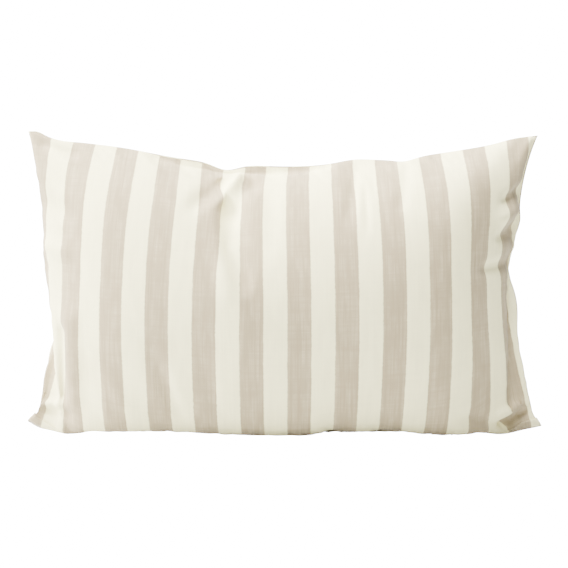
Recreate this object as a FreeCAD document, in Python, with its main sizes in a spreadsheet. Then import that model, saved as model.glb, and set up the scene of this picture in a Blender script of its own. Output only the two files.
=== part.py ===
"""Throw pillow: a striped linen cover with a concealed zip, round a fibre-filled insert.

Millimetres. +X runs along the zip, +Y from the front panel to the back panel, +Z up. The
pillow stands on its zip edge. The origin is on the surface that it stands on, under the
middle of the pillow.
"""
import FreeCAD
import Part

import math
import os

Vector = FreeCAD.Vector

DIMENSIONS = {
    # cover, stuffed and standing
    "overall_width": 484.0,
    "waist_width": 426.0,
    "corner_height": 286.0,
    "crown_height": 254.0,
    "corner_lift": 10.0,
    "half_depth": 64.0,
    "seam_lift": 9.0,
    "foot_sink": 2.4,
    # cloth of the cover
    "linen_layer": 1.3,
    "seam_inset": 3.0,
    "foot_inset": 3.2,
    "seam_lift_inside": 7.0,
    "seam_gap": 0.2,
    "allowance_layer": 0.6,
    "allowance_width": 11.0,
    "zip_edge_allowance": 5.2,
    "thread_inset": 2.6,
    "thread_width": 0.3,
    # insert
    "insert_inset": 14.0,
    "insert_foot": 4.6,
    "insert_lift": 15.5,
    "insert_clearance": 1.5,
    "insert_gap": 0.15,
    "ticking_layer": 0.8,
    "ticking_seam": 2.5,
    "ticking_allowance": 4.0,
    "insert_thread_inset": 1.2,
    "insert_thread_width": 0.2,
    "fill_clearance": 0.4,
    # label
    "label_layer": 0.3,
    "label_width": 7.0,
    "label_height": 34.0,
    "label_bottom": 120.0,
    "label_left": 200.0,
    # zip chain
    "slot_length": 336.0,
    "slot_width": 1.8,
    "chain_length": 326.0,
    "tape_bottom": 9.7,
    "tape_layer": 0.5,
    "tape_inner": 0.7,
    "tape_outer": 11.0,
    "tape_fold_top": 13.5,
    "coil_diameter": 1.8,
    "coil_offset": 2.2,
    "coil_height": 12.6,
    "stitch_offset": 7.0,
    "stitch_width": 0.3,
    "stop_length": 3.0,
    "stop_width": 1.6,
    "stop_height": 1.9,
    "stop_bottom": 11.6,
    "stop_gap": 0.2,
    # zip slider
    "slider_length": 9.5,
    "slider_width": 8.6,
    "slider_bottom": 10.5,
    "slider_height": 4.4,
    "slider_wall": 0.9,
    "slider_plate": 0.8,
    "slider_mouth": 3.0,
    "slider_middle": 157.5,
    "neck_thickness": 1.0,
    "neck_length": 3.0,
    "bridge_length": 7.5,
    "bridge_width": 4.4,
    "bridge_bottom": 3.9,
    "bridge_thickness": 0.8,
    "ear_length": 2.0,
    "ear_thickness": 0.7,
    "ear_bottom": 1.6,
    "hinge_height": 2.6,
    "pin_diameter": 1.0,
    # pull tab
    "bore_diameter": 1.12,
    "knuckle_diameter": 2.2,
    "knuckle_width": 2.6,
    "shank_length": 3.0,
    "tab_thickness": 1.0,
    "tab_length": 19.0,
    "tab_width": 5.0,
    "eyelet_diameter": 2.2,
    "eyelet_offset": 17.0,
}

# The stuffed panel's upright section, from the zip edge to the top edge:
# share of the cloth's height, share of the half depth, share of the standing height.
SECTION = [
    (0.00, 0.00, 0.000),
    (0.03, 0.14, 0.000),
    (0.06, 0.29, 0.000),
    (0.10, 0.45, 0.000),
    (0.17, 0.70, 0.045),
    (0.27, 0.91, 0.150),
    (0.40, 1.00, 0.325),
    (0.55, 0.975, 0.530),
    (0.70, 0.82, 0.725),
    (0.83, 0.56, 0.872),
    (0.93, 0.25, 0.960),
    (1.00, 0.00, 1.000),
]
FOOT_DEPTH_SHARE = 0.45
STATIONS = 15
FRONT = -1
BACK = 1

doc = FreeCAD.newDocument("throw_pillow")


# ---------------------------------------------------------------- the spreadsheet


def make_sheet():
    """Put the driving dimensions in a spreadsheet, one named cell each."""
    cells = doc.addObject("Spreadsheet::Sheet", "dimensions")
    for row, (name, value) in enumerate(DIMENSIONS.items(), start=1):
        cells.set("A%d" % row, name)
        cells.set("B%d" % row, str(value))
        cells.setAlias("B%d" % row, name)
    doc.recompute()
    return cells


sheet = make_sheet()


def size(name):
    """One driving dimension, read from its cell."""
    return float(sheet.get(name))


def bind(thing, path, expression):
    """Tie one property to the spreadsheet. Words that name a cell are written out in full."""
    words = [("dimensions." + word) if word in DIMENSIONS else word for word in expression.split()]
    thing.setExpression(path, " ".join(words))


# ---------------------------------------------------------------- bound primitives


def block(name, corner, extent):
    """A box with its lowest corner and its three lengths tied to the spreadsheet."""
    box = doc.addObject("Part::Box", name)
    for axis, expression in zip("xyz", corner):
        bind(box, "Placement.Base." + axis, expression)
    for side, expression in zip(("Length", "Width", "Height"), extent):
        bind(box, side, expression)
    return box


def rod(name, start, length, diameter, direction):
    """A cylinder that starts at a point and runs along a direction, tied to the sheet."""
    cylinder = doc.addObject("Part::Cylinder", name)
    turn = FreeCAD.Rotation(Vector(0, 0, 1), direction)
    cylinder.Placement = FreeCAD.Placement(Vector(0, 0, 0), turn)
    for axis, expression in zip("xyz", start):
        bind(cylinder, "Placement.Base." + axis, expression)
    bind(cylinder, "Radius", diameter + " / 2")
    bind(cylinder, "Height", length)
    return cylinder


def join(name, pieces):
    """Fuse several shapes into one solid."""
    fused = doc.addObject("Part::MultiFuse", name)
    fused.Shapes = pieces
    fused.Refine = True
    return fused


def remove(name, base, tool):
    """Take one shape from another."""
    cut = doc.addObject("Part::Cut", name)
    cut.Base = base
    cut.Tool = tool
    return cut


# ---------------------------------------------------------------- stuffed skins


class Skin:
    """One closed layer of the stuffed pillow.

    side, top and foot are how far it stands in from the cover's outer face; lift is how far
    the cloth is tucked up along the zip edge; depth is its half depth; gap is half the
    distance left between the front and the back at the seam.
    """

    def __init__(self, side, top, foot, lift, depth, gap):
        self.side = side
        self.top = top
        self.foot = foot - size("foot_sink")
        self.lift = lift
        self.depth = depth
        self.gap = gap

    def point(self, across, up, depth_share, height_share, face):
        """A point of the cloth. across runs from -1 to 1 and up from 0 to 1."""
        edge = abs(across)
        waist = (size("overall_width") - size("waist_width")) / 2 * (1 - (2 * up - 1) ** 2)
        half = size("overall_width") / 2 - self.side
        x = across * half - math.copysign(waist * edge ** 4, across)
        crown = size("crown_height") - self.top
        top = crown + (size("corner_height") - size("crown_height")) * edge ** 3
        low = self.foot + size("corner_lift") * edge ** 6
        share = height_share + (up - height_share) * edge ** 6
        tuck = 0.0
        if up < 0.5:
            tuck = max(0.0, 1 - (depth_share / FOOT_DEPTH_SHARE) ** 2) ** 2
        z = low + (top - low) * share + self.lift * tuck * (1 - edge ** 6)
        side_share = max(0.0, 1 - edge ** 3.2) ** 0.62
        y = face * (self.gap + self.depth * depth_share * side_share)
        return Vector(x, y, z)

    def face(self, side):
        """The crowned face of this skin on the front or the back."""
        columns = []
        for across in stations():
            columns.append([self.point(across, up, d, h, side) for up, d, h in SECTION])
        surface = Part.BSplineSurface()
        surface.interpolate(columns)
        return surface.toShape()

    def outline(self, y):
        """The four seam lines of this skin as a closed wire in the plane y."""
        bottom = [self.seam_point(across, 0.0, 0.0, y) for across in stations()]
        top = [self.seam_point(across, 1.0, 1.0, y) for across in stations()]
        left = [self.seam_point(-1.0, up, up, y) for up, _, _ in SECTION]
        right = [self.seam_point(1.0, up, up, y) for up, _, _ in SECTION]
        edges = []
        for points in (bottom, right, top[::-1], left[::-1]):
            curve = Part.BSplineCurve()
            curve.interpolate(points)
            edges.append(curve.toShape())
        return Part.Wire(edges)

    def seam_point(self, across, up, height_share, y):
        """A point of the outline, moved to the plane y."""
        flat = self.point(across, up, 0.0, height_share, FRONT)
        return Vector(flat.x, y, flat.z)


def stations():
    """Places across the pillow, closer together towards the side seams."""
    step = math.pi / (STATIONS - 1)
    return [math.sin(n * step - math.pi / 2) for n in range(STATIONS)]


def ring(outer, inner):
    """The flat face between two closed wires that lie in one plane."""
    return Part.makeFace([outer, inner], "Part::FaceMakerBullseye")


def closed_solid(faces):
    """Sew faces into one solid that is the right way out."""
    shell = Part.makeShell(faces)
    shell.sewShape()
    solid = Part.Solid(shell)
    if solid.Volume < 0:
        solid.reverse()
    return solid


def panel(side, outside, inside, allowance):
    """A sewn panel: the crowned cloth with its flat edge turned in all round."""
    outer = outside.face(side)
    inner = inside.face(side)
    near = side * outside.gap
    far = side * inside.gap
    edge = allowance.outline(near)
    raw_edge = edge.extrude(Vector(0, far - near, 0))
    faces = [outer, inner]
    faces.append(ring(outer.Wires[0], edge))
    faces.append(ring(inner.Wires[0], allowance.outline(far)))
    faces.extend(raw_edge.Faces)
    return closed_solid(faces)


def band(outside, inside, thickness):
    """A flat band between two outlines, centred on the seam plane."""
    flat = ring(outside.outline(-thickness / 2), inside.outline(-thickness / 2))
    return flat.extrude(Vector(0, thickness, 0))


def centred_box(length, width, bottom, top):
    """A box centred on the X and Y axes."""
    return Part.makeBox(length, width, top - bottom, Vector(-length / 2, -width / 2, bottom))


def add_shape(name, shape):
    """A document object for a stuffed shape, at the frame's own origin."""
    thing = doc.addObject("Part::Feature", name)
    thing.Shape = shape
    thing.Placement = FreeCAD.Placement(Vector(0, 0, 0), FreeCAD.Rotation())
    return thing


# ---------------------------------------------------------------- cover


def inset_skin(inset, foot, depth, gap, lift=None):
    """A skin inset by one amount at the sides and the top and by another at the foot."""
    tuck = size("seam_lift") if lift is None else lift
    return Skin(inset, inset, foot, tuck, depth, gap)


def make_cover():
    """The two linen panels and the lockstitch thread that joins them."""
    gap = size("seam_gap")
    depth = size("half_depth")
    layer = size("allowance_layer")
    outside = inset_skin(0.0, 0.0, depth, gap)
    inside = inset_skin(size("seam_inset"), size("foot_inset"),
                        depth - size("linen_layer") - layer, gap + layer,
                        size("seam_lift_inside"))
    allowance = inset_skin(size("allowance_width"), size("zip_edge_allowance"), 0.0, 0.0)
    reach = 2 * size("overall_width")
    below_floor = centred_box(reach, reach, -reach, 0.0)
    slot = centred_box(size("slot_length"), size("slot_width"), 0.0, 3 * size("seam_lift"))
    nodes = []
    for name, side in (("cover_front_panel", FRONT), ("cover_back_panel", BACK)):
        cloth = panel(side, outside, inside, allowance)
        nodes.append(add_shape(name, cloth.cut(below_floor).cut(slot)))
    start = size("thread_inset")
    end = start + size("thread_width")
    thread = band(inset_skin(start, start, 0.0, 0.0), inset_skin(end, end, 0.0, 0.0), gap)
    nodes.append(add_shape("cover_seam_thread", thread.cut(slot)))
    return nodes


def make_label():
    """The blank care label caught in the right-hand side seam."""
    corner = ("label_left", "0 - label_layer / 2", "label_bottom")
    return [block("care_label", corner, ("label_width", "label_layer", "label_height"))]


# ---------------------------------------------------------------- insert


def make_insert():
    """The two ticking panels, the thread that joins them and the fill inside."""
    inset = size("insert_inset")
    foot = size("insert_foot")
    lift = size("insert_lift")
    gap = size("insert_gap")
    seam = size("ticking_seam")
    turned_in = size("ticking_allowance")
    layer = size("ticking_layer")
    depth = size("half_depth") - size("linen_layer") - size("allowance_layer")
    depth = depth - size("insert_clearance")
    outside = inset_skin(inset, foot, depth, gap, lift)
    inside = inset_skin(inset + seam, foot + seam, depth - layer, gap + layer / 2, lift)
    allowance = inset_skin(inset + turned_in, foot + turned_in, 0.0, 0.0, lift)
    nodes = []
    for name, side in (("insert_front_panel", FRONT), ("insert_back_panel", BACK)):
        nodes.append(add_shape(name, panel(side, outside, inside, allowance)))
    start = size("insert_thread_inset")
    end = start + size("insert_thread_width")
    outer = inset_skin(inset + start, foot + start, 0.0, 0.0, lift)
    inner = inset_skin(inset + end, foot + end, 0.0, 0.0, lift)
    nodes.append(add_shape("insert_seam_thread", band(outer, inner, gap)))
    clear = size("fill_clearance")
    start = turned_in + clear
    core = inset_skin(inset + start, foot + start, depth - layer - clear, gap + layer / 2, lift)
    front = core.face(FRONT)
    back = core.face(BACK)
    edge = front.Wires[0].extrude(Vector(0, 2 * core.gap, 0))
    nodes.append(add_shape("fibre_fill", closed_solid([front, back] + edge.Faces)))
    return nodes


# ---------------------------------------------------------------- zip chain


def mirrored(side, near, width):
    """The low Y of a thing that starts near to the middle and is so wide, on one side."""
    if side == BACK:
        return near
    return "0 - ( " + near + " ) - ( " + width + " )"


def make_tape(name, side):
    """One zip tape: a flat strip with its inner edge folded up to hold the coil."""
    start = "0 - slot_length / 2"
    flat_width = "tape_outer - tape_inner"
    flat = block(name + "_flat", (start, mirrored(side, "tape_inner", flat_width), "tape_bottom"),
                 ("slot_length", flat_width, "tape_layer"))
    fold = block(name + "_fold", (start, mirrored(side, "tape_inner", "tape_layer"), "tape_bottom"),
                 ("slot_length", "tape_layer", "tape_fold_top - tape_bottom"))
    return join(name, [flat, fold])


def make_zip_chain():
    """Tapes, coils, the stitching that holds the tapes, and the three stops."""
    nodes = []
    end = "chain_length / 2 + stop_gap"
    for word, side in (("front", FRONT), ("back", BACK)):
        nodes.append(make_tape("zip_tape_" + word, side))
        offset = ("%d" % side) + " * coil_offset"
        start = ("0 - chain_length / 2", offset, "coil_height")
        nodes.append(rod("zip_coil_" + word, start, "chain_length", "coil_diameter", Vector(1, 0, 0)))
        corner = ("0 - slot_length / 2", mirrored(side, "stitch_offset", "stitch_width"),
                  "tape_bottom + tape_layer")
        extent = ("slot_length", "stitch_width", "stitch_width")
        nodes.append(block("zip_stitching_" + word, corner, extent))
        corner = (end, mirrored(side, "tape_inner + tape_layer", "stop_width"), "stop_bottom")
        nodes.append(block("zip_top_stop_" + word, corner, ("stop_length", "stop_width", "stop_height")))
    span = "tape_inner + tape_layer + stop_width"
    corner = ("0 - chain_length / 2 - stop_gap - stop_length", "0 - ( " + span + " )",
              "tape_fold_top + stop_gap")
    extent = ("stop_length", "2 * ( " + span + " )", "stop_height / 2")
    nodes.append(block("zip_bottom_stop", corner, extent))
    return nodes


# ---------------------------------------------------------------- slider and tab


def make_slider():
    """The slider: a channel over the two coils, a neck through the slot, a bridge and a pin."""
    back_end = "slider_middle - slider_length / 2"
    shell = block("slider_shell", (back_end, "0 - slider_width / 2", "slider_bottom"),
                  ("slider_length", "slider_width", "slider_height"))
    inner = "( slider_width - 2 * slider_wall )"
    channel = block("slider_channel",
                    (back_end + " - 1", "0 - " + inner + " / 2", "slider_bottom + slider_plate"),
                    ("slider_length + 2", inner, "slider_height - 2 * slider_plate"))
    mouth = block("slider_slot", (back_end + " - 1", "0 - slider_mouth / 2", "slider_bottom - 1"),
                  ("slider_length + 2", "slider_mouth", "slider_plate + 2"))
    body = remove("slider_body", shell, join("slider_hollow", [channel, mouth]))
    front = "slider_middle + slider_length / 2 - neck_length"
    neck = block("slider_neck", (front, "0 - neck_thickness / 2", "bridge_bottom"),
                 ("neck_length", "neck_thickness", "slider_bottom + slider_height - bridge_bottom"))
    bridge = block("slider_bridge",
                   (front + " + neck_length - bridge_length", "0 - bridge_width / 2", "bridge_bottom"),
                   ("bridge_length", "bridge_width", "bridge_thickness"))
    parts = [body, neck, bridge]
    for word, side in (("front", FRONT), ("back", BACK)):
        corner = ("slider_middle - ear_length / 2",
                  mirrored(side, "bridge_width / 2 - ear_thickness", "ear_thickness"), "ear_bottom")
        extent = ("ear_length", "ear_thickness", "bridge_bottom - ear_bottom + bridge_thickness / 2")
        parts.append(block("slider_ear_" + word, corner, extent))
    start = ("slider_middle", "0 - bridge_width / 2", "hinge_height")
    parts.append(rod("slider_pin", start, "bridge_width", "pin_diameter", Vector(0, 1, 0)))
    return join("zip_slider", parts)


def make_tab():
    """The pull tab: a knuckle on the pin, a narrow shank and a wider blade with an eyelet."""
    knuckle = rod("tab_knuckle", ("slider_middle", "0 - knuckle_width / 2", "hinge_height"),
                  "knuckle_width", "knuckle_diameter", Vector(0, 1, 0))
    low = "hinge_height - tab_thickness / 2"
    shank = block("tab_shank", ("slider_middle - shank_length", "0 - knuckle_width / 2", low),
                  ("shank_length", "knuckle_width", "tab_thickness"))
    blade = block("tab_blade", ("slider_middle - tab_length", "0 - tab_width / 2", low),
                  ("tab_length - shank_length + 0.5", "tab_width", "tab_thickness"))
    bore = rod("tab_bore", ("slider_middle", "0 - tab_width", "hinge_height"),
               "2 * tab_width", "bore_diameter", Vector(0, 1, 0))
    eyelet = rod("tab_eyelet", ("slider_middle - eyelet_offset", "0", low + " - 1"),
                 "tab_thickness + 2", "eyelet_diameter", Vector(0, 0, 1))
    solid = join("tab_solid", [knuckle, shank, blade])
    return remove("zip_pull_tab", solid, join("tab_holes", [bore, eyelet]))


# ---------------------------------------------------------------- build and write


def check(things):
    """Stop if any object failed to recompute or any node's shape isn't one valid solid."""
    for thing in doc.Objects:
        states = set(thing.State)
        assert not states & {"Invalid", "Error"}, thing.Name + " " + str(thing.State)
    for thing in things:
        shape = thing.Shape
        assert not shape.isNull() and shape.isValid(), thing.Name
        assert len(shape.Solids) == 1, thing.Name + " has %d solids" % len(shape.Solids)
        assert shape.Volume > 0, thing.Name


def write(things):
    """Write each node to its own file, named by its label."""
    os.makedirs("parts", exist_ok=True)
    for thing in things:
        thing.Shape.exportStep("parts/%s.step" % thing.Label)


def main():
    """Build every sub-part, check it and write it."""
    nodes = make_cover() + make_label() + make_insert() + make_zip_chain()
    nodes.append(make_slider())
    nodes.append(make_tab())
    for node in nodes:
        node.Label = node.Name
    doc.recompute()
    check(nodes)
    write(nodes)


main()
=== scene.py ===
"""A striped linen lumbar pillow that stands on its zip edge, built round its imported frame."""

import logging
import math
from dataclasses import dataclass, field
from enum import Enum
from typing import Callable

import bpy
import numpy as np
from mathutils import Matrix, Vector


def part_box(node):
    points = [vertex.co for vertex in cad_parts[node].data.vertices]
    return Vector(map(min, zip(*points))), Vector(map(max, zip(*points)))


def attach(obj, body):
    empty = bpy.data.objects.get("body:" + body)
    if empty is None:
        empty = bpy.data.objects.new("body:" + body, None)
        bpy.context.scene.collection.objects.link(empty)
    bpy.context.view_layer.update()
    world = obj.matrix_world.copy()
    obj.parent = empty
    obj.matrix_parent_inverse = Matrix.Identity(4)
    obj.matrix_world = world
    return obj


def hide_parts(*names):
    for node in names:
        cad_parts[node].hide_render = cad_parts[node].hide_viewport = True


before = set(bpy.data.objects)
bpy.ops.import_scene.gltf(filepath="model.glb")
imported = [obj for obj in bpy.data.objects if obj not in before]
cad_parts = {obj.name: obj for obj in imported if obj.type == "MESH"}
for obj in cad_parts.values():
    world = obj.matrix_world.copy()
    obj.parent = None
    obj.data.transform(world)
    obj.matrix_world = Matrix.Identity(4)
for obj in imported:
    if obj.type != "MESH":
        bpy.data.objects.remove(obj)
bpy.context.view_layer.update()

Colour = tuple[float, float, float, float]
CLOTH_MAP = "cloth"
PHASES = (0.0, 6.28)
PUCKER_DEPTH = 0.00030
PUCKER_STEPS = 8.0
PUCKER_CORNER = 12
PUCKER_RIM = 5
PUCKER_WAVES = 6
PUCKER_TURNS = (250.0, 620.0)
FOLD_RIM = 8
FOLD_END = 1.6
LEAN_LEVEL = 0.2
LEAN_REACH = (-0.9, 0.3)
TINY = 1e-9
LOG = logging.getLogger("pillow")


class Side(Enum):
    """Which half of the cover a panel is, with the way it faces along Y."""

    FRONT = -1
    BACK = 1


def rising(low: float, high: float, value: np.ndarray) -> np.ndarray:
    """A smooth 0 to 1 ramp as value goes from low to high."""
    share = np.clip((value - low) / (high - low), 0.0, 1.0)
    return share * share * (3.0 - 2.0 * share)


def bell(value: np.ndarray, middle: float, width: float) -> np.ndarray:
    """A smooth bump of height 1 at the middle."""
    return np.exp(-(((value - middle) / width) ** 2))


# ---------------------------------------------------------------- the sewn shape


@dataclass(frozen=True)
class Tuck:
    """A place where a seam is drawn in, or let out where depth is negative.

    at runs from -1 to 1 along the edge, and depth is in metres.
    """

    at: float
    width: float
    depth: float

    def inward(self, along: np.ndarray) -> np.ndarray:
        """How far the seam is drawn in at each place along the edge."""
        return self.depth * bell(along, self.at, self.width)


@dataclass(frozen=True)
class Outline:
    """The line that the cover's seam takes when the pillow stands filled, in metres.

    Each pull is how far a side is drawn in between its corners. The low and high powers say how
    soon it is drawn in above the bottom corner and below the top one.
    """

    top_left: tuple[float, float] = (-0.2385, 0.2858)
    top_right: tuple[float, float] = (0.2370, 0.2822)
    bottom_left: tuple[float, float] = (-0.2415, 0.0150)
    bottom_right: tuple[float, float] = (0.2420, 0.0100)
    top_sag: float = 0.0303
    sag_power: float = 1.7
    seam_height: float = 0.0070
    corner_power: int = 14
    end_dip: Tuck = Tuck(0.84, 0.09, 0.0056)
    left_pull: float = 0.0190
    left_powers: tuple[float, float] = (11.0, 1.8)
    right_pull: float = 0.0205
    right_powers: tuple[float, float] = (5.0, 3.0)
    top_tucks: tuple[Tuck, ...] = (
        Tuck(-0.225, 0.065, 0.0060),
        Tuck(-0.62, 0.15, -0.0024),
        Tuck(-0.87, 0.06, 0.0016),
        Tuck(-0.965, 0.03, -0.0026),
        Tuck(0.28, 0.09, -0.0034),
        Tuck(0.475, 0.055, 0.0030),
        Tuck(0.91, 0.07, -0.0020),
    )
    left_tucks: tuple[Tuck, ...] = (
        Tuck(-0.30, 0.15, 0.0125),
        Tuck(-0.10, 0.14, 0.0040),
        Tuck(0.20, 0.08, -0.0035),
    )
    right_tucks: tuple[Tuck, ...] = (
        Tuck(0.11, 0.17, 0.0093),
        Tuck(-0.45, 0.15, 0.0022),
        Tuck(0.42, 0.07, -0.0020),
    )
    bottom_tucks: tuple[Tuck, ...] = (Tuck(-0.950, 0.035, -0.0020),)
    left_set_back: Tuck = Tuck(-0.50, 0.28, 0.012)
    right_set_back: Tuck = Tuck(-0.25, 0.40, 0.001)

    def edge(self, along: np.ndarray, start: tuple[float, float], end: tuple[float, float]) -> np.ndarray:
        """Points on the straight line between two corners, as (x, z)."""
        share = ((along + 1.0) / 2.0)[..., None]
        return np.array(start) * (1.0 - share) + np.array(end) * share

    def drawn_in(
        self, along: np.ndarray, pull: float, powers: tuple[float, float], tucks: tuple[Tuck, ...]
    ) -> np.ndarray:
        """How far a side seam is drawn in at each place along it."""
        power = np.where(along < 0.0, powers[0], powers[1])
        return pull * (1.0 - np.abs(along) ** power) + sum(tuck.inward(along) for tuck in tucks)

    def top(self, u: np.ndarray) -> np.ndarray:
        """The top seam, from the left corner to the right one.

        Args:
            u: Places across, from -1 to 1.

        Returns:
            Points on the seam, as (x, z).
        """
        line = self.edge(u, self.top_left, self.top_right)
        line[..., 1] -= self.top_sag * (1.0 - np.abs(u) ** self.sag_power)
        line[..., 1] -= sum(tuck.inward(u) for tuck in self.top_tucks)
        return line

    def bottom(self, u: np.ndarray) -> np.ndarray:
        """The zip seam, a little above the floor, lower between the zip's ends and the corners.

        Args:
            u: Places across, from -1 to 1.

        Returns:
            Points on the seam, as (x, z).
        """
        line = self.edge(u, self.bottom_left, self.bottom_right)
        line[..., 1] = self.seam_height + (line[..., 1] - self.seam_height) * np.abs(u) ** self.corner_power
        line[..., 1] -= self.end_dip.inward(np.abs(u))
        line[..., 1] += sum(tuck.inward(u) for tuck in self.bottom_tucks)
        return line

    def left(self, v: np.ndarray) -> np.ndarray:
        """The left seam, from the bottom corner to the top one.

        Args:
            v: Places up, from -1 to 1.

        Returns:
            Points on the seam, as (x, z).
        """
        line = self.edge(v, self.bottom_left, self.top_left)
        line[..., 0] += self.drawn_in(v, self.left_pull, self.left_powers, self.left_tucks)
        return line

    def right(self, v: np.ndarray) -> np.ndarray:
        """The right seam, from the bottom corner to the top one.

        Args:
            v: Places up, from -1 to 1.

        Returns:
            Points on the seam, as (x, z).
        """
        line = self.edge(v, self.bottom_right, self.top_right)
        line[..., 0] -= self.drawn_in(v, self.right_pull, self.right_powers, self.right_tucks)
        return line

    def set_back(self, u: np.ndarray, v: np.ndarray) -> np.ndarray:
        """How far behind the middle the side seams lie, where the front bulges over them."""
        left = self.left_set_back.inward(v) * (u <= -1.0)
        return left + self.right_set_back.inward(v) * (u >= 1.0)

    def patch(self, u: np.ndarray, v: np.ndarray) -> np.ndarray:
        """The flat patch that fills the outline, as (x, z) for u and v from -1 to 1.

        Args:
            u: Places across, from -1 to 1.
            v: Places up, from -1 to 1.

        Returns:
            A point, as (x, z), for each place.
        """
        s = ((u + 1.0) / 2.0)[..., None]
        t = ((v + 1.0) / 2.0)[..., None]
        corners = (1 - s) * (1 - t) * np.array(self.bottom_left) + s * (1 - t) * np.array(self.bottom_right)
        corners = corners + (1 - s) * t * np.array(self.top_left) + s * t * np.array(self.top_right)
        upright = (1 - t) * self.bottom(u) + t * self.top(u)
        return upright + (1 - s) * self.left(v) + s * self.right(v) - corners


@dataclass(frozen=True)
class Fold:
    """A soft ridge in a panel along a line, or a hollow where lift is negative. In metres.

    start and end are (x, z), and width is the ridge's half width.
    """

    start: tuple[float, float]
    end: tuple[float, float]
    width: float
    lift: float

    def outward(self, x: np.ndarray, z: np.ndarray) -> np.ndarray:
        """How far the cloth stands out at each place.

        Args:
            x: The places' x.
            z: The places' z.

        Returns:
            The lift at each place, in metres.
        """
        run = np.array(self.end) - np.array(self.start)
        length = float(np.hypot(*run))
        run /= length
        along = (x - self.start[0]) * run[0] + (z - self.start[1]) * run[1]
        across = (z - self.start[1]) * run[0] - (x - self.start[0]) * run[1]
        beyond = np.maximum(np.maximum(-along, along - length), 0.0)
        return self.lift * bell(across, 0.0, self.width) * bell(beyond, 0.0, FOLD_END * self.width)


def half_gap(points: np.ndarray) -> np.ndarray:
    """Half the distance from the front panel to the back one, at each grid point."""
    return np.maximum(points[1, ..., 1] - points[0, ..., 1], 0.0) / 2.0


def kept_apart(points: np.ndarray, least: float, steps: int) -> np.ndarray:
    """The grids with the panels never closer than a least gap, which they reach some steps from the rim.

    Args:
        points: The front and back grids.
        least: The least gap.
        steps: How many grid steps from the rim it is reached.

    Returns:
        The grids, moved apart along Y where they were too close.
    """
    middle = points[..., 1].mean(axis=0)
    wanted = least / 2.0 * np.minimum(from_rim(points[0]) / steps, 1.0)
    half = np.maximum(half_gap(points), wanted)
    result = points.copy()
    for layer, side in enumerate(Side):
        result[layer, ..., 1] = middle + side.value * half
    return result


def outward_of(panel: np.ndarray, side: Side) -> np.ndarray:
    """Which way a panel's cloth faces at each grid point, as unit vectors."""
    facing = np.cross(np.gradient(panel, axis=1), np.gradient(panel, axis=0)) * -side.value
    return facing / np.maximum(np.linalg.norm(facing, axis=-1, keepdims=True), 1e-12)


def from_rim(panel: np.ndarray) -> np.ndarray:
    """How many grid steps each point is from the nearest edge of its panel.

    Args:
        panel: A panel's grid.

    Returns:
        The number of steps for each point.
    """
    rows, columns = np.indices(panel.shape[:2])
    across = np.minimum(columns, panel.shape[1] - 1 - columns)
    return np.minimum(across, np.minimum(rows, panel.shape[0] - 1 - rows))


def folded(panel: np.ndarray, folds: tuple[Fold, ...], side: Side) -> np.ndarray:
    """A panel's points with its folds put in. The seam stays where it is."""
    lift = sum(fold.outward(panel[..., 0], panel[..., 2]) for fold in folds)
    lift = lift * rising(0, FOLD_RIM, from_rim(panel))
    return panel + outward_of(panel, side) * lift[..., None]


def puckered(panel: np.ndarray, side: Side, seed: int) -> np.ndarray:
    """A panel's points with the fine ripples that the stitching draws in along its seams.

    Args:
        panel: The panel's grid.
        side: Which panel it is.
        seed: The seed of the ripples.

    Returns:
        The rippled grid.
    """
    generator = np.random.default_rng(seed)
    ripples = sum(
        np.sin((panel[..., 0] + panel[..., 2]) * turns + phase)
        for turns, phase in zip(
            generator.uniform(*PUCKER_TURNS, PUCKER_WAVES), generator.uniform(*PHASES, PUCKER_WAVES)
        )
    )
    steps = from_rim(panel)
    from_corner = sum(np.minimum(place, place.max() - place) for place in np.indices(steps.shape))
    corners = rising(PUCKER_CORNER, 2.0 * PUCKER_CORNER, from_corner)
    depth = PUCKER_DEPTH * corners * rising(0, PUCKER_RIM, steps) * np.exp(-steps / PUCKER_STEPS)
    return panel + outward_of(panel, side) * (ripples * depth)[..., None]


def finer(points: np.ndarray, axis: int) -> np.ndarray:
    """The same grid with a point added between each pair along one axis, on a smooth curve.

    Args:
        points: The grid.
        axis: The array's axis to make finer.

    Returns:
        The finer grid.
    """
    moved = np.moveaxis(points, axis, 0)
    wide = np.concatenate([2 * moved[:1] - moved[1:2], moved, 2 * moved[-1:] - moved[-2:-1]])
    result = np.empty((2 * len(moved) - 1,) + moved.shape[1:])
    result[::2] = moved
    result[1::2] = (9 * (moved[:-1] + moved[1:]) - wide[:-3] - wide[3:]) / 16
    return np.moveaxis(result, 0, axis)


def sample(points: np.ndarray, axis: int, places: np.ndarray) -> np.ndarray:
    """Points read between the grid lines along one axis.

    Args:
        points: The grid.
        axis: The array's axis to read along.
        places: Where to read, in grid steps.

    Returns:
        The grid at those places.
    """
    low = np.clip(np.floor(places).astype(int), 0, points.shape[axis] - 2)
    share = places - low
    shape = [1] * points.ndim
    shape[axis] = len(places)
    share = share.reshape(shape)
    return np.take(points, low, axis=axis) * (1 - share) + np.take(points, low + 1, axis=axis) * share


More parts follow.
